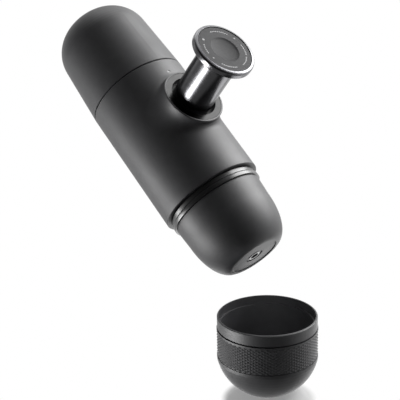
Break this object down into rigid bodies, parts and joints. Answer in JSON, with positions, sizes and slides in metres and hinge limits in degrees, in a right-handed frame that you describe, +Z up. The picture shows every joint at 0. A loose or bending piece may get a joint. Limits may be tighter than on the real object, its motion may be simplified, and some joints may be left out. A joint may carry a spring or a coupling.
{
  "type": "handheld manual espresso maker",
  "caption": "Pill-shaped handheld pump espresso maker held over its own round cup, with a side pump that slides and locks.",
  "frame": {"origin": "where the axis of the maker's body crosses the axis of its pump, at the middle of the hand's grip", "axes": "+Z up, +X the level direction in which the spout points, +Y across; the maker is tipped with its spout 40.7 degrees below level and the cup stands upright under it"},
  "size_m": [0.1818, 0.06, 0.2061],
  "materials": {
    "satin_plastic": "satin charcoal moulded plastic",
    "grey_plastic": "fine satin mid-grey moulded plastic",
    "dark_plastic": "smooth dark moulded plastic",
    "inner_plastic": "plain moulded plastic",
    "bearing_plastic": "natural acetal plastic",
    "dial_plastic": "fine matt dark grey plastic",
    "black_rubber": "black rubber",
    "pale_silicone": "pale silicone rubber",
    "inner_metal": "drawn and turned stainless steel",
    "sheet_steel": "pressed and perforated stainless sheet",
    "chrome": "polished chrome plating"
  },
  "bodies": {
    "main": {"main_body": "satin_plastic", "collar_face": "grey_plastic", "vent_plug": "dark_plastic", "pump_housing": "inner_plastic", "guide_bush": "bearing_plastic", "wiper_seal": "black_rubber", "lock_ring": "inner_metal", "pump_cylinder": "inner_metal", "tank_deck": "inner_plastic", "tank_seal": "pale_silicone", "inlet_tube": "bearing_plastic", "inlet_valve": "pale_silicone", "outlet_tube": "bearing_plastic", "outlet_valve": "pale_silicone", "brew_deck": "inner_plastic", "shower_plate": "sheet_steel", "brew_gasket": "pale_silicone"},
    "plunger": {"piston_rod": "inner_metal", "piston_head": "inner_plastic", "piston_seal": "black_rubber", "return_spring": "inner_metal"},
    "knob": {"barrel": "chrome", "button_bezel": "chrome", "dial_insert": "dial_plastic"},
    "tank": {"water_tank": "satin_plastic"},
    "filter": {"filter_adapter": "dark_plastic", "filter_basket": "sheet_steel", "neck_seal": "pale_silicone"},
    "head": {"outlet_head": "satin_plastic", "head_ring": "dark_plastic", "outlet_screen": "sheet_steel", "spout_nozzle": "dark_plastic"},
    "cup": {"cup": "satin_plastic"}
  },
  "joints": [
    {"name": "pump_slide", "type": "slide", "parent": "main", "child": "plunger", "axis": [-0.6521, 0, -0.7581], "range_m": [0, 0.0327], "stiffness_N_per_m": 250, "springref_m": -0.03, "deforming": ["return_spring"]},
    {"name": "knob_turn", "type": "hinge", "parent": "plunger", "child": "knob", "pos_m": [0, 0, 0], "axis": [0.6521, 0, 0.7581], "range_deg": [0, 60]},
    {"name": "tank_lift", "type": "slide", "parent": "main", "child": "tank", "axis": [-0.7581, 0, 0.6521], "range_m": [0, 0.04]},
    {"name": "head_pull", "type": "slide", "parent": "main", "child": "head", "axis": [0.7581, 0, -0.6521], "range_m": [0, 0.026]},
    {"name": "filter_pull", "type": "slide", "parent": "main", "child": "filter", "axis": [0.7581, 0, -0.6521], "range_m": [0, 0.013]},
    {"name": "cup_draw", "type": "slide", "parent": "main", "child": "cup", "axis": [1, 0, 0], "range_m": [0, 0.06]}
  ],
  "couplings": [
    {"joint": "filter_pull", "follows": "head_pull", "ratio": 0.5}
  ]
}
